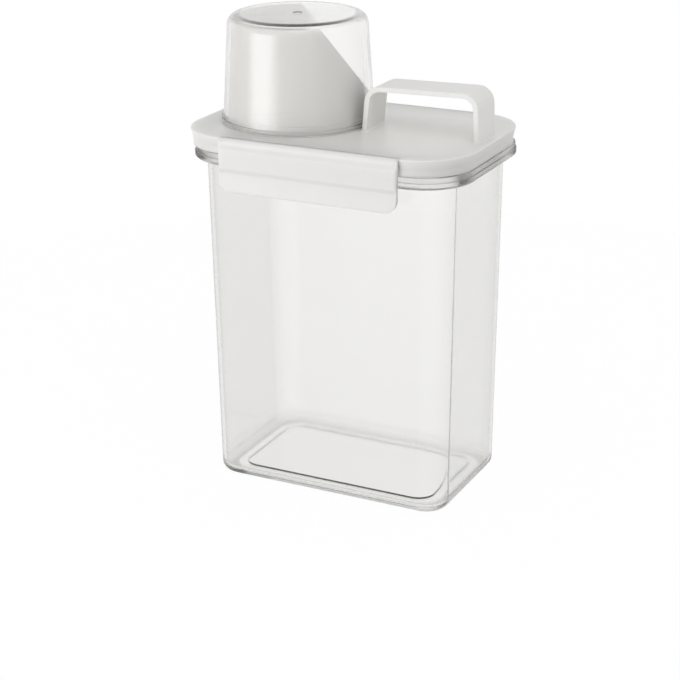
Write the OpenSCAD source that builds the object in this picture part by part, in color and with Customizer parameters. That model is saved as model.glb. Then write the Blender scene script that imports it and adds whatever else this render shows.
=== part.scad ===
// Laundry detergent dispenser: a clear container with a white lid that two latches hold
// down, a pouring spout set in the lid, a strap handle, and a clear measuring cup that
// stands upside down over the spout. +Z is up, the container's length runs along X, and
// the origin lies on the ground under the lid's middle.

/* [Container] */
// Length of the container at its foot
container_l = 130; // [110:1:160]
// Depth of the container at its foot
container_w = 80; // [70:1:110]
// Height from the foot to the underside of the collar
container_h = 171.9; // [120:0.1:220]
// Corner radius of the container at its foot
container_r = 12.5; // [11:0.5:20]
// How far each wall leans out between the foot and the rim
container_lean = 2.6; // [0.5:0.1:3]
// How far the container's middle lies off the lid's, away from the spout
container_x = 1.4; // [0:0.1:2]
// Thickness of the container's walls
container_wall = 2; // [1.5:0.1:3]
// Thickness of the container's floor
floor_t = 2.5; // [1.5:0.1:4]
// Radius of the rounding where the walls meet the floor
foot_r = 5; // [3:0.5:7]
// Distance from the foot's edge to the stepped panel in the floor
panel_inset = 11; // [8:0.5:20]
// Corner radius of the stepped panel
panel_r = 9; // [4:0.5:12]
// Height of the step round the panel
panel_step = 1; // [0.5:0.1:1.4]

/* [Collar and rim] */
// How far the collar stands out past the foot's edge, along X
collar_out_l = 9.6; // [8.6:0.1:12]
// How far the collar stands out past the foot's edge, along Y
collar_out_w = 10; // [8.6:0.1:12]
// Corner radius of the collar
collar_r = 25.6; // [22:0.2:30]
// Height of the collar
collar_h = 5.8; // [4:0.1:8]
// How far the collar's upper lip is set in from its lower one
collar_step = 0.5; // [0.2:0.1:1]
// Height of the collar's upper lip
collar_lip_h = 2.2; // [1:0.1:3]
// Height and depth of the fine groove between the two lips
collar_groove = 0.4; // [0.2:0.1:0.8]
// Chamfer under the collar, which the latches hook under
collar_chamfer = 1; // [0.8:0.1:1.5]
// Height of the rim above the collar
rim_h = 3.9; // [3:0.1:9]

/* [Lid] */
// How far the lid's edge stands out past the collar, along X
lid_out_l = 1.4; // [1.2:0.1:6]
// How far the lid's edge stands out past the collar, along Y
lid_out_w = 0.2; // [0:0.1:4]
// Corner radius of the lid
lid_r = 27.5; // [25:0.5:34]
// Thickness of the lid's top
lid_t = 2.2; // [1.8:0.1:3.5]
// Radius of the rounding along the lid's top edge
edge_r = 0.6; // [0.4:0.1:1]
// How far the skirt lies in from the lid's edge
skirt_in = 1.2; // [0.8:0.1:2]
// Height over which the skirt flares out to that edge
flare_h = 5.5; // [3:0.1:7]
// Thickness of the skirt and of the lid's inner walls
lid_wall = 1.8; // [1.2:0.1:2.4]
// Thickness of the sealing ring
seal_t = 2.4; // [1.5:0.1:4]
// Depth to which the plug reaches down inside the rim
plug_h = 5.7; // [3:0.1:9]
// Thickness of the outer rib that keeps the sealing ring in place
rib_t = 0.8; // [0.6:0.1:1.2]
// Height of that outer rib
rib_h = 4; // [2.6:0.1:5]

/* [Latches] */
// Length of each latch
latch_l = 96; // [70:0.2:100]
// Height of each latch below its hinge axis
latch_h = 24.3; // [21:0.1:30]
// Thickness of each latch
latch_t = 2; // [1.6:0.1:2.4]
// Radius of the hinge barrel along the top of each latch
hinge_r = 2.2; // [1.6:0.1:2.6]
// Distance from the lid's edge in to the hinge axes
hinge_in = 1; // [1:0.1:3]
// Height over which each latch bends out below its hinge axis
latch_bend = 4; // [3:0.1:6]
// Radius of each latch's two lower corners
latch_r = 6.5; // [3:0.5:10]
// Radius along the latch's upright edges
latch_edge_r = 1.2; // [0.5:0.1:1.4]
// How far each hook reaches in under the collar
hook_bite = 0.8; // [0.5:0.1:0.9]
// Length of the hook along each latch
hook_l = 76; // [40:1:80]
// Depth of the crease across each latch
crease_d = 0.5; // [0.2:0.1:0.8]
// Height of the latch's flared lip below the crease
crease_z = 9.6; // [7:0.1:12]
// Radius of the hinge nubs at the ends of each latch
nub_r = 0.6; // [0.4:0.05:1]
// Length of each hinge nub past the wall that carries it
nub_l = 2; // [1.5:0.1:3]

/* [Spout] */
// Distance from the lid's middle to the axis of the spout and the cup
spout_x = 30.2; // [29:0.1:40]
// Thickness of the spout's wall
spout_wall = 1.8; // [1.2:0.1:2.4]
// Thickness of the flange that carries the cup's foot
flange_t = 0.5; // [0.4:0.1:1.5]
// Height of the ring round the spout's foot
spout_ring_h = 4.7; // [3:0.1:7]
// Thickness of the floor round the passage
spout_floor_t = 2; // [1.5:0.1:3]
// Radius of the passage through the lid
passage_r = 27.7; // [24:0.1:28.5]
// Direction in which the slanting cut runs down, from +X towards +Y
cut_turn = 36; // [0:1:90]
// Slope of the cut against the level
cut_tilt = 53.2; // [40:0.2:60]
// Height of the cut's low end above the lid's top
cut_low = 12.3; // [8:0.1:20]
// Height of each sloping lug on the spout's wall
lug_h = 2.8; // [1.5:0.1:4]
// How far the lugs stand out
lug_out = 0.4; // [0.2:0.05:0.5]
// Angle that each lug takes round the spout
lug_span = 46; // [30:1:70]
// Slope of the lugs
lug_tilt = 7; // [3:0.5:12]
// Height of the lugs' middle above the lid's top
lug_z = 9; // [7:0.1:14]
// Number of lugs round the spout
lug_count = 3; // [2:1:4]

/* [Measuring cup] */
// Height of the cup
cup_h = 53; // [45:0.5:70]
// Outer radius of the cup's wall just above its foot
cup_r = 38.2; // [36:0.1:42]
// How much narrower the cup is at its closed end
cup_taper = 3; // [1:0.1:5]
// Thickness of the cup's wall
cup_wall = 1.5; // [1:0.1:2]
// Thickness of the cup's closed end
cup_floor_t = 1.8; // [1:0.1:3]
// Radius of the rounding round the closed end
cup_fillet = 5; // [3:0.5:8]
// How far the foot stands out past the wall
cup_foot_out = 0.8; // [0.4:0.1:1]
// Height of the cup's foot
cup_foot_h = 2; // [1:0.1:4]
// Radius of the moulding mark in the middle of the closed end
mark_r = 2.4; // [1.5:0.1:4]
// Depth of the moulding mark
mark_d = 0.3; // [0.1:0.05:0.6]

/* [Handle] */
// Distance from the cup's foot to the handle's nearer leg
handle_gap = 1.2; // [1.1:0.1:4]
// Length of the handle
handle_l = 61.7; // [50:0.1:63]
// Height of the handle above the lid's top
handle_h = 24.1; // [20:0.1:35]
// Width of the strap
handle_w = 21; // [14:0.5:28]
// Thickness of the strap
handle_t = 2.3; // [1.8:0.1:4]
// Outer radius of the strap's bends
handle_r = 8; // [6:0.5:12]
// How far the leg next to the cup leans in towards its top
handle_near_lean = 2.2; // [0.2:0.1:3]
// How far the other leg leans in towards its top
handle_far_lean = 0.7; // [0.2:0.1:3]
// How much lower the strap is at the leg next to the cup
handle_drop = 1.4; // [0:0.1:3]
// Radius at the legs' feet
handle_foot_r = 0.9; // [0.5:0.1:1]

/* [Clearances] */
// Gap between pieces that lift off each other
lift_gap = 0.2; // [0.1:0.05:0.4]
// Gap between the sealing ring and the rim and ribs
seal_gap = 0.1; // [0.05:0.01:0.2]
// Gap between the plug and the inside of the rim
plug_gap = 0.8; // [0.4:0.1:1.2]
// Gap round the outside of the rim
rim_gap = 0.7; // [0.5:0.1:1]
// Gap round the latches and between hook and collar
latch_gap = 0.3; // [0.2:0.05:0.4]
// Gap between a hinge barrel and its groove
barrel_gap = 0.1; // [0.05:0.01:0.25]
// Running fit of the hinge nubs in their holes
nub_fit = 0.08; // [0.02:0.01:0.1]
// Gap between the spout and the inside of the cup
cup_gap = 0.75; // [0.6:0.05:1.2]
// Gap between the spout's rim and the cup's closed end
head_gap = 1; // [0.8:0.1:6]
// Gap round the spout's snap collar
snap_gap = 0.2; // [0.1:0.05:0.3]
// How far the snap bead reaches under the lid's top
snap_bite = 0.5; // [0.3:0.1:0.8]

/* [Hidden] */
$fn = 128;
arc_steps = 7;      // straight pieces in each rounded corner of a profile
past = 1;           // how far a cutter runs past what it cuts

// heights
z_collar = container_h;
z_collar_top = z_collar + collar_h;
z_rim = z_collar_top + rim_h;
z_seal = z_rim + seal_gap;
z_plate = z_seal + seal_t;
z_lid = z_plate + lid_t;
z_skirt = z_collar_top + lift_gap;
z_cup = z_lid + flange_t + lift_gap;
z_cup_top = z_cup + cup_h;

// half sizes of the rectangles that the walls are swept round
foot_c = [container_l / 2 - container_r, container_w / 2 - container_r];
panel_c = [container_l / 2 - panel_inset - panel_r, container_w / 2 - panel_inset - panel_r];
collar_c = [container_l / 2 + collar_out_l - collar_r, container_w / 2 + collar_out_w - collar_r];
lid_c = [container_l / 2 + collar_out_l + lid_out_l - lid_r,
    container_w / 2 + collar_out_w + lid_out_w - lid_r];

// the container's outer radius at height z
function lean_r(z) = container_r + container_lean * z / z_rim;

// hinge axes and the latches
axis_z = z_lid - hinge_r;
axis_y = lid_c.y + lid_r - hinge_in;
groove_r = hinge_r + barrel_gap;
recess_l = latch_l + 2 * latch_gap;
latch_bottom = axis_z - latch_h;
collar_y = collar_c.y + collar_r;
plate_y = collar_y + latch_gap;
outer_y = plate_y + latch_t;

// the cup's outer radius at height z, and the spout inside it
function cup_at(z) = cup_r - cup_taper * (z - z_cup - cup_foot_h) / (cup_h - cup_foot_h - cup_fillet);
function spout_at(z) = cup_at(z) - cup_wall - cup_gap;
ring_r = cup_at(z_lid + spout_ring_h) - cup_wall - cup_gap / 2;
spout_top = z_cup_top - cup_floor_t - head_gap;
cut_z = z_lid + cut_low;
snap_r = passage_r + lid_wall - snap_gap;
hole_r = snap_r + snap_gap;

// the handle's legs
leg_x0 = cup_r + cup_foot_out + handle_gap - spout_x;
leg_x1 = leg_x0 + handle_l;

// the point list of an arc of radius r that rounds the corner b between a and c
function arc(a, b, c, r) = let (
    u = (a - b) / norm(a - b), v = (c - b) / norm(c - b), half = acos(u * v) / 2,
    o = b + (u + v) / norm(u + v) * r / sin(half),
    p = b + u * r / tan(half) - o, q = b + v * r / tan(half) - o,
    from = atan2(p.y, p.x), raw = atan2(q.y, q.x) - from,
    turn = raw > 180 ? raw - 360 : raw < -180 ? raw + 360 : raw)
    [for (i = [0:arc_steps]) o + r * [cos(from + turn * i / arc_steps), sin(from + turn * i / arc_steps)]];

// a closed outline whose corner i has the radius r[i], sharp where that is 0
function rounded(p, r) = let (n = len(p))
    [for (i = [0:n - 1]) each r[i] > 0 ? arc(p[(i + n - 1) % n], p[i], p[(i + 1) % n], r[i]) : [p[i]]];

// a rectangle as a point list, from corner a to corner b
function box_pts(a, b) = [a, [b.x, a.y], b, [a.x, b.y]];

// a profile swept round a rectangle of half sizes c, its x being the distance out from it
module loop(c, pts) {
    sides = [[1, 1], [-1, 1], [-1, -1], [1, -1]];
    for (i = [0:3])
        translate([sides[i].x * c.x, sides[i].y * c.y, 0]) rotate(90 * i)
            rotate_extrude(angle = 90) polygon(pts);
    for (i = [0, 1]) rotate(180 * i) {
        translate([c.x, 0, 0]) rotate([90, 0, 0]) linear_extrude(2 * c.y, center = true) polygon(pts);
        translate([0, c.y, 0]) rotate([90, 0, 90]) linear_extrude(2 * c.x, center = true) polygon(pts);
    }
}

// the same, filled: the profile begins and ends on the rectangle, at its lowest and highest points
module block(c, pts) {
    z0 = pts[0].y;
    z1 = pts[len(pts) - 1].y;
    loop(c, pts);
    translate([-c.x, -c.y, z0]) cube([2 * c.x, 2 * c.y, z1 - z0]);
}

// the clear container with its collar and rim
module container() color("gainsboro", 0.5) translate([container_x, 0, 0]) {
    shell();
    floor_panel();
}
module shell() difference() {
    union() {
        block(foot_c, rounded([[0, 0], [lean_r(0), 0], [lean_r(z_rim), z_rim], [0, z_rim]], [0, foot_r, 0, 0]));
        block(collar_c, [[0, z_collar], [collar_r - collar_chamfer, z_collar],
            [collar_r, z_collar + collar_chamfer],
            [collar_r, z_collar_top - collar_lip_h - collar_groove],
            [collar_r - collar_step - collar_groove, z_collar_top - collar_lip_h - collar_groove],
            [collar_r - collar_step - collar_groove, z_collar_top - collar_lip_h],
            [collar_r - collar_step, z_collar_top - collar_lip_h],
            [collar_r - collar_step, z_collar_top], [0, z_collar_top]]);
    }
    block(foot_c, rounded([[0, floor_t], [lean_r(floor_t) - container_wall, floor_t],
        [lean_r(z_rim) - container_wall, z_rim], [lean_r(z_rim) - container_wall, z_rim + past],
        [0, z_rim + past]], [0, foot_r - container_wall / 2, 0, 0, 0]));
    floor_cut();
}

// the recess under the floor; the panel inside follows it
module floor_cut() block(panel_c, [[0, -past], [panel_r, -past], [panel_r, panel_step], [0, panel_step]]);
module floor_panel() block(panel_c, [[0, floor_t - past], [panel_r, floor_t - past],
    [panel_r, floor_t + panel_step], [0, floor_t + panel_step]]);

// the skirt's outer curve, from its foot up to the lid's edge
skirt_top = z_lid - edge_r;
z_flare = z_lid - flare_h;
skirt_curve = [for (i = [0:6]) let (s = i / 6)
    [lid_r - skirt_in * (1 - pow(s, 1.2)), z_flare + (skirt_top - z_flare) * s]];
plug_r = lean_r(z_rim) - container_wall - plug_gap;
inner_r = lid_r - skirt_in - lid_wall;
beam_y = axis_y - groove_r - lid_wall;

// the white lid with its handle
module lid() color("white") {
    difference() {
        union() {
            difference() {
                block(lid_c, concat([[0, z_skirt], [lid_r - skirt_in, z_skirt]], skirt_curve,
                    arc([lid_r, skirt_top], [lid_r, z_lid], [0, z_lid], edge_r), [[0, z_lid]]));
                block(lid_c, [[0, z_skirt - past], [inner_r, z_skirt - past], [inner_r, z_plate], [0, z_plate]]);
            }
            for (s = [0, 1]) rotate(180 * s)
                translate([-recess_l / 2, beam_y, axis_z - groove_r - lid_wall])
                    cube([recess_l, lid_c.y + inner_r + lid_wall / 2 - beam_y, groove_r + lid_wall]);
            translate([container_x, 0, 0]) {
                loop(foot_c, box_pts([plug_r - lid_wall, z_rim - plug_h], [plug_r, z_plate + lid_t / 2]));
                loop(foot_c, box_pts([lean_r(z_rim) + rim_gap, z_plate - rib_h],
                    [lean_r(z_rim) + rim_gap + rib_t, z_plate + lid_t / 2]));
            }
        }
        for (s = [0, 1]) rotate(180 * s) {
            translate([-recess_l / 2, axis_y - latch_gap, z_skirt - past])
                cube([recess_l, lid_r, z_lid - z_skirt + 2 * past]);
            translate([-recess_l / 2, axis_y, axis_z]) rotate([0, 90, 0]) cylinder(r = groove_r, h = recess_l);
        }
        translate([-spout_x, 0, z_plate - past]) cylinder(r = hole_r, h = lid_t + 2 * past);
    }
    for (x = [-1, 1]) for (y = [-1, 1])
        translate([x * (recess_l / 2 - nub_l), y * axis_y, axis_z]) rotate([0, 90 * x, 0])
            cylinder(r = nub_r, h = nub_l + past);
    handle();
}

// the strap handle, moulded in one with the lid
module handle() {
    f = 1.5 * handle_foot_r;
    top = z_lid + handle_h;
    low = z_lid - lid_t / 2;
    pts = [[leg_x0 - f, low], [leg_x0 - f, z_lid], [leg_x0, z_lid],
        [leg_x0 + handle_near_lean, top - handle_drop],
        [leg_x1 - handle_far_lean, top], [leg_x1, z_lid], [leg_x1 + f, z_lid], [leg_x1 + f, low],
        [leg_x1 - handle_t - f, low], [leg_x1 - handle_t - f, z_lid], [leg_x1 - handle_t, z_lid],
        [leg_x1 - handle_t - handle_far_lean, top - handle_t],
        [leg_x0 + handle_t + handle_near_lean, top - handle_drop - handle_t],
        [leg_x0 + handle_t, z_lid], [leg_x0 + handle_t + f, z_lid], [leg_x0 + handle_t + f, low]];
    r = handle_foot_r;
    inner = handle_r - handle_t;
    rotate([90, 0, 0]) linear_extrude(handle_w, center = true)
        polygon(rounded(pts, [0, 0, r, handle_r, handle_r, r, 0, 0, 0, 0, r, inner, inner, r, 0, 0]));
}

// the soft ring between the lid and the container's rim
module lid_seal() color("lightgray") translate([container_x, 0, 0])
    loop(foot_c, box_pts([plug_r + seal_gap, z_seal], [lean_r(z_rim) + rim_gap - seal_gap, z_plate]));

// one latch, on the +Y side
module latch() {
    crease = latch_bottom + crease_z;
    blend = 5 * crease_d;
    face = concat([for (i = [0:8]) [axis_y + hinge_r + (outer_y - axis_y - hinge_r) * (1 - cos(22.5 * i)) / 2,
            axis_z - latch_bend * i / 8]],
        [for (i = [0:6]) [outer_y - crease_d * (1 - cos(30 * i)) / 2, crease + blend * (1 - i / 6)]],
        [[outer_y - latch_t / 8, latch_bottom + crease_z / 2]],
        arc([outer_y - latch_t / 8, latch_bottom + crease_z / 2], [outer_y, latch_bottom],
            [plate_y, latch_bottom], latch_t / 4));
    tip_y = collar_y - hook_bite;
    ramp = collar_chamfer + z_collar - latch_gap - collar_y;
    difference() {
        union() {
            intersection() {
                rotate([90, 0, 90]) linear_extrude(latch_l, center = true)
                    polygon(concat(face, [[plate_y, latch_bottom], [plate_y, axis_z - latch_bend],
                        [axis_y, axis_z - hinge_r + barrel_gap], [axis_y, axis_z]]));
                rotate([90, 0, 0]) linear_extrude(2 * outer_y + 2 * past, center = true)
                    polygon(rounded(box_pts([-latch_l / 2, latch_bottom], [latch_l / 2, axis_z + past]),
                        [latch_r, latch_r, 0, 0]));
                translate([0, 0, latch_bottom - past]) linear_extrude(latch_h + 2 * past)
                    polygon(rounded(box_pts([-latch_l / 2, 0], [latch_l / 2, outer_y]),
                        [0, 0, latch_edge_r, latch_edge_r]));
            }
            translate([-latch_l / 2, axis_y, axis_z]) rotate([0, 90, 0]) cylinder(r = hinge_r, h = latch_l);
            rotate([90, 0, 90]) linear_extrude(hook_l, center = true)
                polygon([[plate_y + latch_t / 4, tip_y + ramp - hook_bite - (plate_y - tip_y)],
                    [plate_y, tip_y + ramp - hook_bite - (plate_y - tip_y)], [tip_y, tip_y + ramp - hook_bite],
                    [tip_y, tip_y + ramp], [collar_y + lift_gap, collar_y + lift_gap + ramp],
                    [plate_y + latch_t / 4, collar_y + lift_gap + ramp]]);
        }
        for (x = [-1, 1]) translate([x * (recess_l / 2 - nub_l - latch_gap), axis_y, axis_z])
            rotate([0, 90 * x, 0]) cylinder(r = nub_r + nub_fit, h = nub_l + latch_gap + past);
    }
}
module front_latch() color("whitesmoke") rotate(180) latch();
module rear_latch() color("whitesmoke") latch();

// the slanting spout, a snap-in insert of the lid
module spout() color("white") translate([-spout_x, 0, 0]) {
    difference() {
        union() {
            rotate_extrude() polygon([[passage_r, z_plate - snap_bite * 3 - lid_wall],
                [snap_r - snap_gap, z_plate - snap_bite * 3 - lid_wall],
                [hole_r + snap_bite, z_plate - snap_bite * 2], [hole_r + snap_bite, z_plate - snap_gap / 2],
                [snap_r, z_plate - snap_gap / 2], [snap_r, z_lid],
                [cup_r + cup_foot_out, z_lid], [cup_r + cup_foot_out, z_lid + flange_t],
                [ring_r, z_lid + flange_t], [ring_r, z_lid + spout_ring_h - edge_r],
                [ring_r - edge_r, z_lid + spout_ring_h], [spout_at(z_lid + spout_ring_h), z_lid + spout_ring_h],
                [spout_at(spout_top - edge_r), spout_top - edge_r],
                [spout_at(spout_top - edge_r) - edge_r, spout_top],
                [spout_at(spout_top) - spout_wall, spout_top],
                [spout_at(z_lid + spout_floor_t) - spout_wall, z_lid + spout_floor_t],
                [passage_r, z_lid + spout_floor_t]]);
            for (i = [0:lug_count - 1]) rotate(360 / lug_count * i - 86.5) lug();
        }
        rotate([0, 0, cut_turn]) translate([spout_at(cut_z), 0, cut_z]) rotate([0, cut_tilt, 0])
            translate([-4 * cup_r, -2 * cup_r, 0]) cube([6 * cup_r, 4 * cup_r, 4 * cup_r]);
    }
}

// one sloping lug on the spout's wall, centred on +X
module lug() {
    z0 = z_lid + spout_ring_h;
    z1 = z_lid + lug_z + 3 * lug_h;
    intersection() {
        rotate(-lug_span / 2) rotate_extrude(angle = lug_span)
            polygon([[spout_at(z0) - spout_wall / 2, z0], [spout_at(z0) + lug_out, z0],
                [spout_at(z1) + lug_out, z1], [spout_at(z1) - spout_wall / 2, z1]]);
        translate([cup_r, 0, z_lid + lug_z]) rotate([lug_tilt, 0, 0]) cube([cup_r, 2 * cup_r, lug_h], center = true);
    }
}

// the clear measuring cup, upside down
module measuring_cup() color("gainsboro", 0.5) translate([-spout_x, 0, 0]) {
    z1 = z_cup_top - cup_floor_t;
    r0 = cup_at(z_cup + cup_foot_h);
    rotate_extrude() polygon(rounded([[0, z1 - mark_d], [0, z_cup_top - mark_d], [mark_r, z_cup_top - mark_d],
        [mark_r, z_cup_top], [cup_at(z_cup_top), z_cup_top], [r0, z_cup + cup_foot_h],
        [r0 + cup_foot_out, z_cup + cup_foot_h], [r0 + cup_foot_out, z_cup], [cup_at(z_cup) - cup_wall, z_cup],
        [cup_at(z1) - cup_wall, z1], [mark_r, z1], [mark_r, z1 - mark_d]],
        [0, 0, 0, 0, cup_fillet, 0, cup_foot_out / 2, 0, 0, cup_fillet - cup_wall, 0, 0]));
}

container();
lid();
lid_seal();
spout();
front_latch();
rear_latch();
measuring_cup();
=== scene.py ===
import math

import bmesh
import bpy
from bpy.props import FloatProperty, FloatVectorProperty, PointerProperty
from mathutils import Matrix, Vector

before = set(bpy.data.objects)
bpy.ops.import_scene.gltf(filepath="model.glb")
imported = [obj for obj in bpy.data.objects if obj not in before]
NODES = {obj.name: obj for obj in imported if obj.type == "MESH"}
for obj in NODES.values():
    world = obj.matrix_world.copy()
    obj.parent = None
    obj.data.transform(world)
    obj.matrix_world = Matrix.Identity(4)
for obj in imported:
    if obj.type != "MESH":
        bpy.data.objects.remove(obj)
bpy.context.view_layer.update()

bl_info = {
    "name": "Laundry detergent dispenser",
    "version": (1, 0, 0),
    "blender": (4, 5, 0),
    "location": "3D View > Sidebar > Dispenser",
    "description": "Dresses the dispenser's solids in clear and white plastic and sets its studio",
    "category": "Object",
}

MM = 0.001

# Moulded plastic: the mottling, the uneven gloss, and the relief of its grain and ripples
MOTTLE_SCALE, MOTTLE_DETAIL = 45.0, 3.0
SMEAR_SCALE, SMEAR_DETAIL = 160.0, 4.0
GRAIN_DETAIL, RIPPLE_DETAIL = 2.0, 1.0
RELIEF_DEPTH = 0.05 * MM

# Clear plastic: the masks' soft borders, the reach of the painted edge shade, and what the depth
# absorbs
COLLAR_FADE = 1.5 * MM
PANEL_FADE = 0.6 * MM
FACING_BLEND = 0.15
PANEL_PALENESS = 0.85
THICK_PALENESS = 0.8
ABSORPTION = (0.5, 0.49, 0.46, 1)
ABSORPTION_DENSITY = 4.0

# Frosting of each clear piece's thick parts, then where they are. The panel is the middle part
# that stays clear and where the painted edge shade is mostly left out: a rectangle of the given
# half sizes, grown all round by the panel radius.
CLEAR_WALLS = {
    "clear_container": (0.28, {
        "Foot": 0.0, "Foot height": 9 * MM, "Collar": 171.5 * MM, "Centre X": 1.4 * MM,
        "Panel X": 45 * MM, "Panel Y": 20 * MM, "Panel radius": 13.5 * MM}),
    "clear_cup": (0.14, {
        "Foot": 187 * MM, "Foot height": 3 * MM, "Collar": 237.2 * MM, "Centre X": -30.2 * MM,
        "Panel radius": 28.5 * MM}),
}

# Studio
WHITE = (1, 1, 1, 1)
FLOOR_RADIUS = 0.47
FLOOR_SIDES = 96
FLOOR_DROP = 0.2 * MM
FLOOR_COLOUR = (0.85, 0.85, 0.85, 1)
FLOOR_GLOW = 1.03
FLOOR_GLOW_SHARE = 0.93
LAMPS_AIM = (0, 0, 0.12)
KEY_SIZE = (1.2, 0.47)
KEY_LIFT = math.radians(-1.1)
KEY_EVEN_SHARE = (0.15, 0.55)
FILL_SIZE = (0.8, 0.8)
FILL_TURN = math.radians(40)
FILL_LIFT = math.radians(55)
SENSOR_WIDTH = 36.0
CLIP_START, CLIP_END = 0.01, 50.0


# Settings

class DispenserPlastics(bpy.types.PropertyGroup):
    """Colours and finishes of the dispenser's plastics"""

    white: FloatVectorProperty(
        name="White plastic",
        description="Colour of the lid, the handle, the latches and the spout",
        default=(0.91, 0.90, 0.868), subtype="COLOR", min=0.0, max=1.0)
    container: FloatVectorProperty(
        name="Container", description="Tint that a wall of the container gives, looked at squarely",
        default=(0.96, 0.957, 0.95), subtype="COLOR", min=0.0, max=1.0)
    # Painted shade: the dark colour that the container's walls seen edge on are mixed towards. It
    # stands in for dark refractions and reflections, and partly for the longer path through the
    # tinted wall.
    container_edge_shade: FloatVectorProperty(
        name="Container's edges",
        description="Tint that a wall of the container gives, looked at edge on",
        default=(0.22, 0.215, 0.20), subtype="COLOR", min=0.0, max=1.0)
    # Partly painted shade: greys the container's foot and collar, both for the thicker plastic
    # there and for the shade near the floor and under the lid
    container_thick_grey_and_shade: FloatVectorProperty(
        name="Container's thick parts", description="Tint of the container's foot and collar",
        default=(0.84, 0.83, 0.81), subtype="COLOR", min=0.0, max=1.0)
    cup: FloatVectorProperty(
        name="Cup", description="Tint that the cup's wall gives, looked at squarely",
        default=(0.985, 0.98, 0.975), subtype="COLOR", min=0.0, max=1.0)
    # Painted shade: the dark colour that the cup's walls seen edge on are mixed towards. It stands
    # in for dark refractions and reflections, and partly for the longer path through the tinted
    # wall.
    cup_edge_shade: FloatVectorProperty(
        name="Cup's edges", description="Tint that the cup's wall gives, looked at edge on",
        default=(0.84, 0.83, 0.82), subtype="COLOR", min=0.0, max=1.0)
    # Partly painted shade: greys the cup's foot and the bend round its closed end, both for the
    # thicker plastic there and for the shade under the foot
    cup_thick_grey_and_shade: FloatVectorProperty(
        name="Cup's thick parts",
        description="Tint of the cup's foot and of the bend round its closed end",
        default=(0.96, 0.955, 0.945), subtype="COLOR", min=0.0, max=1.0)
    silicone: FloatVectorProperty(
        name="Silicone", description="Colour of the sealing ring",
        default=(0.72, 0.72, 0.71), subtype="COLOR", min=0.0, max=1.0)
    grain: FloatProperty(
        name="Grain size", description="Size of the fine moulding grain on the white plastic",
        default=0.35 * MM, min=0.05 * MM, max=5 * MM, unit="LENGTH", precision=5)
    ripple: FloatProperty(
        name="Ripple size", description="Size of the faint flow ripples in the plastics",
        default=26 * MM, min=5 * MM, max=100 * MM, unit="LENGTH", precision=4)


class DispenserStudio(bpy.types.PropertyGroup):
    """Camera and light"""

    azimuth: FloatProperty(
        name="Azimuth", description="Camera's turn round the dispenser, 0 in front of it",
        default=math.radians(26.839), subtype="ANGLE")
    elevation: FloatProperty(
        name="Elevation", description="Camera's angle above the horizon",
        default=math.radians(21.072), subtype="ANGLE")
    roll: FloatProperty(
        name="Roll", description="Camera's turn about its own axis",
        default=math.radians(-0.539), subtype="ANGLE")
    distance: FloatProperty(
        name="Distance", description="Distance from the camera to its target",
        default=0.9335, min=0.1, unit="LENGTH")
    target: FloatVectorProperty(
        name="Target", description="Point that the camera looks at",
        default=(-0.008386, 0.0, 0.069768), subtype="TRANSLATION", unit="LENGTH", precision=5)
    lens: FloatProperty(
        name="Lens", description="Focal length on a sensor 36 mm wide",
        default=94.29, min=1.0)
    key_power: FloatProperty(
        name="Key light", description="Power of the wide soft light at the front left",
        default=7.2, min=0.0, unit="POWER")
    key_azimuth: FloatProperty(
        name="Key light's azimuth",
        description="Direction of the key light, 0 in front of the dispenser",
        default=math.radians(-31.0), subtype="ANGLE")
    fill_power: FloatProperty(
        name="Fill light", description="Power of the soft light above the camera",
        default=1.7, min=0.0, unit="POWER")
    sky: FloatProperty(
        name="Room light", description="Even light from the pale room all round",
        default=0.555, min=0.0)


# Node helpers

def feed(tree, socket, value):
    """Links an output to a socket, or gives the socket a value of its own"""
    if isinstance(value, bpy.types.NodeSocket):
        tree.links.new(value, socket)
    else:
        socket.default_value = value


def maths(tree, operation, *values, clamp=False):
    """The output of a new Math node that is fed the given outputs and numbers"""
    node = tree.nodes.new("ShaderNodeMath")
    node.operation = operation
    node.use_clamp = clamp
    for socket, value in zip(node.inputs, values):
        feed(tree, socket, value)
    return node.outputs[0]


def mixed(tree, share, first, second):
    """The output of a new colour mix of two colours by the share of the second"""
    node = tree.nodes.new("ShaderNodeMixRGB")
    for label, value in (("Fac", share), ("Color1", first), ("Color2", second)):
        feed(tree, node.inputs[label], value)
    return node.outputs["Color"]


def split_axes(tree, output):
    """A new Separate XYZ node's outputs for the given output"""
    node = tree.nodes.new("ShaderNodeSeparateXYZ")
    tree.links.new(output, node.inputs[0])
    return node.outputs


def shader_group(name, inputs, outputs):
    """A new shader node group with the given sockets, what it is given, and what it results in"""
    group = bpy.data.node_groups.new(name, "ShaderNodeTree")
    for label, kind, value in inputs:
        socket = group.interface.new_socket(label, in_out="INPUT", socket_type=kind)
        socket.default_value = value
    for label, kind in outputs:
        group.interface.new_socket(label, in_out="OUTPUT", socket_type=kind)
    given = group.nodes.new("NodeGroupInput").outputs
    result = group.nodes.new("NodeGroupOutput").inputs
    return group, given, result


def group_outputs(tree, group, values):
    """The outputs of a new node for a shader group, with the given input values"""
    node = tree.nodes.new("ShaderNodeGroup")
    node.node_tree = group
    for label, value in values.items():
        node.inputs[label].default_value = value
    return node.outputs


# Materials

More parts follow.
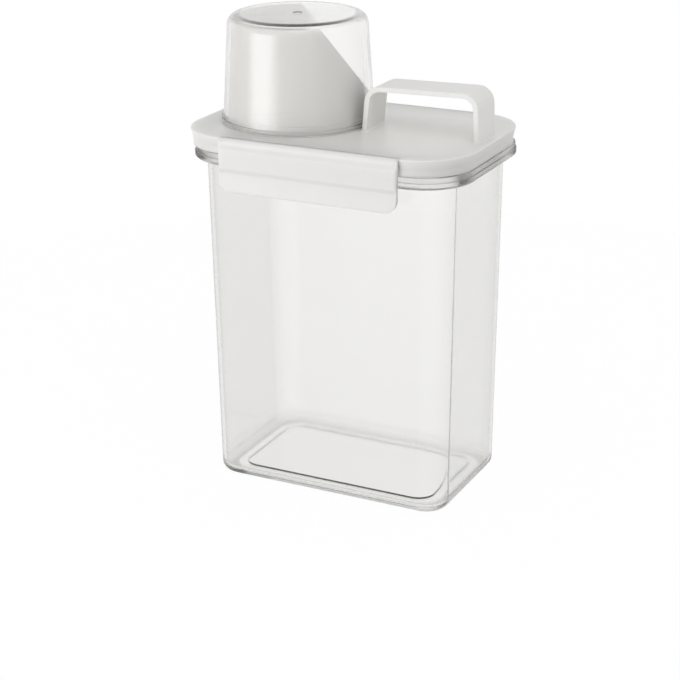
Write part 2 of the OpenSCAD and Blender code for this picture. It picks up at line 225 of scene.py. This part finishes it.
def moulded_surface():
    """Slight mottling, soft flow ripples and fine grain of injection-moulded plastic"""
    if "moulded_surface" in bpy.data.node_groups:
        return bpy.data.node_groups["moulded_surface"]
    group, given, result = shader_group(
        "moulded_surface",
        [("Colour", "NodeSocketColor", (0.8, 0.8, 0.8, 1)),
         ("Mottle", "NodeSocketFloat", 0.02),
         ("Roughness", "NodeSocketFloat", 0.3),
         ("Roughness spread", "NodeSocketFloat", 0.05),
         ("Grain scale", "NodeSocketFloat", 3000.0),
         ("Grain height", "NodeSocketFloat", 0.5),
         ("Ripple scale", "NodeSocketFloat", 40.0),
         ("Ripple height", "NodeSocketFloat", 0.5)],
        [("Colour", "NodeSocketColor"),
         ("Roughness", "NodeSocketFloat"),
         ("Height", "NodeSocketFloat")])
    place = group.nodes.new("ShaderNodeTexCoord").outputs["Object"]

    def noise(scale, detail):
        node = group.nodes.new("ShaderNodeTexNoise")
        for label, value in (("Vector", place), ("Scale", scale), ("Detail", detail)):
            feed(group, node.inputs[label], value)
        return node.outputs["Fac"]

    def spread_round(middle, scale, detail, spread):
        swing = maths(group, "SUBTRACT", noise(scale, detail), 0.5)
        return maths(group, "MULTIPLY_ADD", swing, spread, middle)

    tone = group.nodes.new("ShaderNodeVectorMath")
    tone.operation = "SCALE"
    feed(group, tone.inputs[0], given["Colour"])
    feed(group, tone.inputs["Scale"], spread_round(
        1.0, MOTTLE_SCALE, MOTTLE_DETAIL, given["Mottle"]))
    feed(group, result["Colour"], tone.outputs[0])
    feed(group, result["Roughness"], spread_round(
        given["Roughness"], SMEAR_SCALE, SMEAR_DETAIL, given["Roughness spread"]))
    grain, ripple = (
        maths(group, "MULTIPLY", noise(given[label + " scale"], detail), given[label + " height"])
        for label, detail in (("Grain", GRAIN_DETAIL), ("Ripple", RIPPLE_DETAIL)))
    feed(group, result["Height"], maths(group, "ADD", grain, ripple))
    return group


def thickness_and_shade_masks():
    """Masks of a clear piece: its thick parts, at foot and collar, and where the painted shade on
    its edges is weakened
    """
    if "thickness_and_shade_masks" in bpy.data.node_groups:
        return bpy.data.node_groups["thickness_and_shade_masks"]
    group, given, result = shader_group(
        "thickness_and_shade_masks",
        [("Foot", "NodeSocketFloat", 0.0),
         ("Foot height", "NodeSocketFloat", 0.01),
         ("Collar", "NodeSocketFloat", 1.0),
         ("Centre X", "NodeSocketFloat", 0.0),
         ("Panel X", "NodeSocketFloat", 0.0),
         ("Panel Y", "NodeSocketFloat", 0.0),
         ("Panel radius", "NodeSocketFloat", 0.01)],
        [("Thick", "NodeSocketFloat"), ("Even", "NodeSocketFloat")])

    def step(operation, *values, clamp=False):
        return maths(group, operation, *values, clamp=clamp)

    place = split_axes(group, group.nodes.new("ShaderNodeTexCoord").outputs["Object"])
    rise = step("DIVIDE", step("SUBTRACT", place["Z"], given["Foot"]), given["Foot height"])
    foot = step("SUBTRACT", 1.0, rise, clamp=True)
    collar = step(
        "DIVIDE", step("SUBTRACT", place["Z"], given["Collar"]), COLLAR_FADE, clamp=True)
    level = step("MAXIMUM", foot, collar)

    # distance past the panel's outline, a rectangle with round corners
    past = group.nodes.new("ShaderNodeCombineXYZ")
    for axis, offset in (("X", step("SUBTRACT", place["X"], given["Centre X"])),
                         ("Y", place["Y"])):
        beyond = step("SUBTRACT", step("ABSOLUTE", offset), given["Panel " + axis])
        feed(group, past.inputs[axis], step("MAXIMUM", beyond, 0.0))
    length = group.nodes.new("ShaderNodeVectorMath")
    length.operation = "LENGTH"
    feed(group, length.inputs[0], past.outputs[0])
    outside = step("SUBTRACT", length.outputs["Value"], given["Panel radius"])
    inside = step("DIVIDE", step("SUBTRACT", PANEL_FADE, outside), PANEL_FADE, clamp=True)

    panel = step("MULTIPLY", level, inside)
    thick = step("SUBTRACT", level, panel, clamp=True)
    feed(group, result["Thick"], thick)
    feed(group, result["Even"], step("MAXIMUM", panel, step("MULTIPLY", thick, THICK_PALENESS)))
    return group


def clear_shade(tree, colour, roughness, edge, thick, frosting, walls):
    """Greys and frosts a clear piece's thick parts, the grey partly painted shade, and darkens its
    walls seen edge on with painted shade
    """
    mask = group_outputs(tree, thickness_and_shade_masks(), walls)
    # Thick parts greyed, partly for the thicker plastic and partly as painted shade
    body = mixed(tree, mask["Thick"], colour, (*thick, 1))
    # Painted shade: walls seen edge on are darkened towards the edge colour, and less so in the
    # panel and the thick parts
    facing = tree.nodes.new("ShaderNodeLayerWeight")
    facing.inputs["Blend"].default_value = FACING_BLEND
    strength = maths(tree, "MULTIPLY_ADD", mask["Even"], -PANEL_PALENESS, 1.0)
    share = maths(tree, "MULTIPLY", facing.outputs["Facing"], strength)
    shade = mixed(tree, share, body, (*edge, 1))
    return shade, maths(tree, "MULTIPLY_ADD", mask["Thick"], frosting, roughness)


def plastic(name, surface, values, relief, clear=None):
    """A Principled material over the moulded surface; clear holds a clear piece's shading"""
    material = bpy.data.materials.new(name)
    material.use_nodes = True
    tree = material.node_tree
    shader = tree.nodes["Principled BSDF"]
    for label, value in values.items():
        shader.inputs[label].default_value = value
    moulded = group_outputs(tree, moulded_surface(), surface)
    colour, roughness = moulded["Colour"], moulded["Roughness"]
    if clear is not None:
        colour, roughness = clear_shade(tree, colour, roughness, *clear)
        volume = tree.nodes.new("ShaderNodeVolumeAbsorption")
        volume.inputs["Color"].default_value = ABSORPTION
        volume.inputs["Density"].default_value = ABSORPTION_DENSITY
        feed(tree, tree.nodes["Material Output"].inputs["Volume"], volume.outputs["Volume"])
    bump = tree.nodes.new("ShaderNodeBump")
    bump.inputs["Strength"].default_value = relief
    bump.inputs["Distance"].default_value = RELIEF_DEPTH
    feed(tree, bump.inputs["Height"], moulded["Height"])
    feed(tree, shader.inputs["Base Color"], colour)
    feed(tree, shader.inputs["Roughness"], roughness)
    feed(tree, shader.inputs["Normal"], bump.outputs["Normal"])
    return material


def white_plastic(name, look):
    """Satin white plastic with a little light inside it"""
    return plastic(
        name,
        {"Colour": (*look.white, 1), "Mottle": 0.025, "Roughness": 0.36,
         "Roughness spread": 0.08, "Grain scale": 1 / look.grain, "Grain height": 0.35,
         "Ripple scale": 1 / look.ripple, "Ripple height": 2.0},
        {"IOR": 1.46, "Subsurface Weight": 0.6, "Subsurface Radius": (1.0, 1.0, 0.95),
         "Subsurface Scale": 6 * MM},
        relief=0.25)


def clear_plastic(name, look, colour, edge, thick):
    """Clear plastic with the thick parts that CLEAR_WALLS gives by its name, greyed partly as
    painted shade, and with painted shade on its walls seen edge on
    """
    return plastic(
        name,
        {"Colour": (*colour, 1), "Mottle": 0.01, "Roughness": 0.09, "Roughness spread": 0.03,
         "Grain scale": 900.0, "Grain height": 0.02, "Ripple scale": 1 / look.ripple,
         "Ripple height": 6.0},
        {"IOR": 1.38, "Transmission Weight": 1.0},
        relief=0.25, clear=(edge, thick, *CLEAR_WALLS[name]))


def soft_silicone(name, look):
    """Translucent soft rubber of the sealing ring"""
    return plastic(
        name,
        {"Colour": (*look.silicone, 1), "Mottle": 0.04, "Roughness": 0.5,
         "Roughness spread": 0.1, "Grain scale": 2500.0, "Grain height": 0.3,
         "Ripple scale": 120.0, "Ripple height": 1.0},
        {"IOR": 1.41, "Transmission Weight": 0.3},
        relief=0.3)


def finish_named(name):
    """One of the object's materials, made on its first use"""
    if name in bpy.data.materials:
        return bpy.data.materials[name]
    look = bpy.context.scene.dispenser_plastics
    if name == "moulded_white":
        return white_plastic(name, look)
    if name == "clear_container":
        return clear_plastic(
            name, look, look.container, look.container_edge_shade, look.container_thick_grey_and_shade)
    if name == "clear_cup":
        return clear_plastic(name, look, look.cup, look.cup_edge_shade, look.cup_thick_grey_and_shade)
    return soft_silicone(name, look)


def dress(obj, name):
    """Gives a CAD node its material"""
    obj.data.materials.clear()
    obj.data.materials.append(finish_named(name))


# Pieces, each the CAD node's own mesh

class DispenserOperator:
    """Common part of the dispenser's operators"""

    bl_options = {"REGISTER", "UNDO"}


class DISPENSER_OT_container(DispenserOperator, bpy.types.Operator):
    """Dresses the container in clear plastic"""

    bl_idname = "dispenser.container"
    bl_label = "Container"

    def execute(self, context):
        dress(NODES["container"], "clear_container")
        return {"FINISHED"}


class DISPENSER_OT_lid(DispenserOperator, bpy.types.Operator):
    """Dresses the lid with its handle, its seal and its spout"""

    bl_idname = "dispenser.lid"
    bl_label = "Lid, seal and spout"

    def execute(self, context):
        dress(NODES["lid"], "moulded_white")
        dress(NODES["spout"], "moulded_white")
        dress(NODES["lid_seal"], "silicone")
        return {"FINISHED"}


class DISPENSER_OT_latches(DispenserOperator, bpy.types.Operator):
    """Dresses the two latches in white plastic"""

    bl_idname = "dispenser.latches"
    bl_label = "Latches"

    def execute(self, context):
        dress(NODES["front_latch"], "moulded_white")
        dress(NODES["rear_latch"], "moulded_white")
        return {"FINISHED"}


class DISPENSER_OT_cup(DispenserOperator, bpy.types.Operator):
    """Dresses the measuring cup in clear plastic"""

    bl_idname = "dispenser.cup"
    bl_label = "Measuring cup"

    def execute(self, context):
        dress(NODES["measuring_cup"], "clear_cup")
        return {"FINISHED"}


# Stage

def seen_directly(tree):
    """1 for rays that show the background: from the camera, off gloss and through clear plastic"""
    path = tree.nodes.new("ShaderNodeLightPath").outputs
    total = path["Is Camera Ray"]
    for label in ("Is Glossy Ray", "Is Transmission Ray"):
        total = maths(tree, "ADD", total, path[label], clamp=True)
    return total


def lit_and_seen(tree, share, lit, seen, output):
    """Ends a tree with two shaders: one that lights, and one that is seen to the given share"""
    mix = tree.nodes.new("ShaderNodeMixShader")
    for socket, value in zip(mix.inputs, (share, lit.outputs[0], seen.outputs[0])):
        feed(tree, socket, value)
    feed(tree, tree.nodes.new(output).inputs["Surface"], mix.outputs[0])


def floor_material():
    """White to the eye, with a soft shadow under the object"""
    material = bpy.data.materials.new("studio_floor")
    material.use_nodes = True
    tree = material.node_tree
    tree.nodes.clear()
    matt = tree.nodes.new("ShaderNodeBsdfDiffuse")
    matt.inputs["Color"].default_value = FLOOR_COLOUR
    glow = tree.nodes.new("ShaderNodeEmission")
    glow.inputs["Strength"].default_value = FLOOR_GLOW
    share = maths(tree, "MULTIPLY", seen_directly(tree), FLOOR_GLOW_SHARE)
    lit_and_seen(tree, share, matt, glow, "ShaderNodeOutputMaterial")
    return material


def room(strength):
    """A pale room that lights the object evenly and looks white"""
    world = bpy.data.worlds.new("studio_room")
    world.use_nodes = True
    tree = world.node_tree
    tree.nodes.clear()
    walls = tree.nodes.new("ShaderNodeBackground")
    walls.inputs["Color"].default_value = WHITE
    walls.inputs["Strength"].default_value = strength
    white = tree.nodes.new("ShaderNodeBackground")
    white.inputs["Color"].default_value = WHITE
    lit_and_seen(tree, seen_directly(tree), walls, white, "ShaderNodeOutputWorld")
    return world


def outward(turn, lift):
    """Unit vector that turns from the object's front and rises by the given angles"""
    return Vector((
        math.sin(turn) * math.cos(lift), -math.cos(turn) * math.cos(lift), math.sin(lift)))


def softbox(name, power, size, turn, lift):
    """A large soft light one metre from the dispenser, turned to its middle"""
    lamp = bpy.data.lights.new(name, "AREA")
    lamp.shape = "RECTANGLE"
    lamp.size, lamp.size_y = size
    lamp.energy = power
    obj = bpy.data.objects.new(name, lamp)
    back = outward(turn, lift)
    obj.location = Vector(LAMPS_AIM) + back
    obj.rotation_euler = back.to_track_quat("Z", "Y").to_euler()
    bpy.context.scene.collection.objects.link(obj)
    return lamp


def feather(lamp, even_share):
    """Fades a softbox towards its edges, from the given shares of its half sizes outwards"""
    lamp.use_nodes = True
    tree = lamp.node_tree
    place = split_axes(tree, tree.nodes.new("ShaderNodeNewGeometry").outputs["Parametric"])
    fades = []
    for axis, share in zip("XY", even_share):
        away = maths(tree, "ABSOLUTE", maths(tree, "SUBTRACT", place[axis], 0.5))
        fade = tree.nodes.new("ShaderNodeMapRange")
        fade.interpolation_type = "SMOOTHSTEP"
        for label, value in (("Value", away), ("From Min", 0.5), ("From Max", share / 2),
                             ("To Min", 0.0), ("To Max", 1.0)):
            feed(tree, fade.inputs[label], value)
        fades.append(fade.outputs["Result"])
    feed(tree, tree.nodes["Emission"].inputs["Strength"], maths(tree, "MULTIPLY", *fades))


def aim_camera(camera, studio):
    """Puts the camera where the photograph was taken from"""
    camera.data.lens = studio.lens
    camera.data.sensor_width = SENSOR_WIDTH
    camera.data.clip_start, camera.data.clip_end = CLIP_START, CLIP_END
    back = outward(studio.azimuth, studio.elevation)
    right = Vector((math.cos(studio.azimuth), math.sin(studio.azimuth), 0))
    up = back.cross(right)
    turned = right * math.cos(studio.roll) + up * math.sin(studio.roll)
    axes = Matrix((turned, back.cross(turned), back)).transposed()
    camera.matrix_world = Matrix.Translation(
        Vector(studio.target) + back * studio.distance) @ axes.to_4x4()


class DISPENSER_OT_stage(DispenserOperator, bpy.types.Operator):
    """Makes the floor, the room, the light and the camera"""

    bl_idname = "dispenser.stage"
    bl_label = "Studio"

    def execute(self, context):
        scene = context.scene
        studio = scene.dispenser_studio
        mesh = bpy.data.meshes.new("studio_floor")
        work = bmesh.new()
        bmesh.ops.create_circle(work, cap_ends=True, segments=FLOOR_SIDES, radius=FLOOR_RADIUS)
        bmesh.ops.translate(work, verts=work.verts[:], vec=(0, 0, -FLOOR_DROP))
        work.to_mesh(mesh)
        work.free()
        floor = bpy.data.objects.new("studio_floor", mesh)
        floor.data.materials.append(floor_material())
        scene.collection.objects.link(floor)

        scene.world = room(studio.sky)
        key = softbox("key_light", studio.key_power, KEY_SIZE, studio.key_azimuth, KEY_LIFT)
        feather(key, KEY_EVEN_SHARE)
        softbox("fill_light", studio.fill_power, FILL_SIZE, FILL_TURN, FILL_LIFT)

        camera = bpy.data.objects.new("camera", bpy.data.cameras.new("camera"))
        aim_camera(camera, studio)
        scene.collection.objects.link(camera)
        scene.camera = camera
        scene.view_settings.view_transform = "Standard"
        return {"FINISHED"}


class DISPENSER_PT_panel(bpy.types.Panel):
    """Lists the dispenser's settings and steps"""

    bl_label = "Dispenser"
    bl_idname = "DISPENSER_PT_panel"
    bl_space_type = "VIEW_3D"
    bl_region_type = "UI"
    bl_category = "Dispenser"

    def draw(self, context):
        for settings in (context.scene.dispenser_plastics, context.scene.dispenser_studio):
            box = self.layout.box()
            for prop in settings.bl_rna.properties:
                if prop.identifier not in {"rna_type", "name"}:
                    box.prop(settings, prop.identifier)
        for operator in STEPS:
            self.layout.operator(operator.bl_idname)


STEPS = (
    DISPENSER_OT_stage,
    DISPENSER_OT_container,
    DISPENSER_OT_lid,
    DISPENSER_OT_latches,
    DISPENSER_OT_cup,
)
CLASSES = (DispenserPlastics, DispenserStudio, *STEPS, DISPENSER_PT_panel)


def register():
    for cls in CLASSES:
        bpy.utils.register_class(cls)
    bpy.types.Scene.dispenser_plastics = PointerProperty(type=DispenserPlastics)
    bpy.types.Scene.dispenser_studio = PointerProperty(type=DispenserStudio)


def unregister():
    del bpy.types.Scene.dispenser_plastics
    del bpy.types.Scene.dispenser_studio
    for cls in reversed(CLASSES):
        bpy.utils.unregister_class(cls)


def main():
    register()
    bpy.ops.dispenser.stage()
    bpy.ops.dispenser.container()
    bpy.ops.dispenser.lid()
    bpy.ops.dispenser.latches()
    bpy.ops.dispenser.cup()


if __name__ == "__main__":
    main()
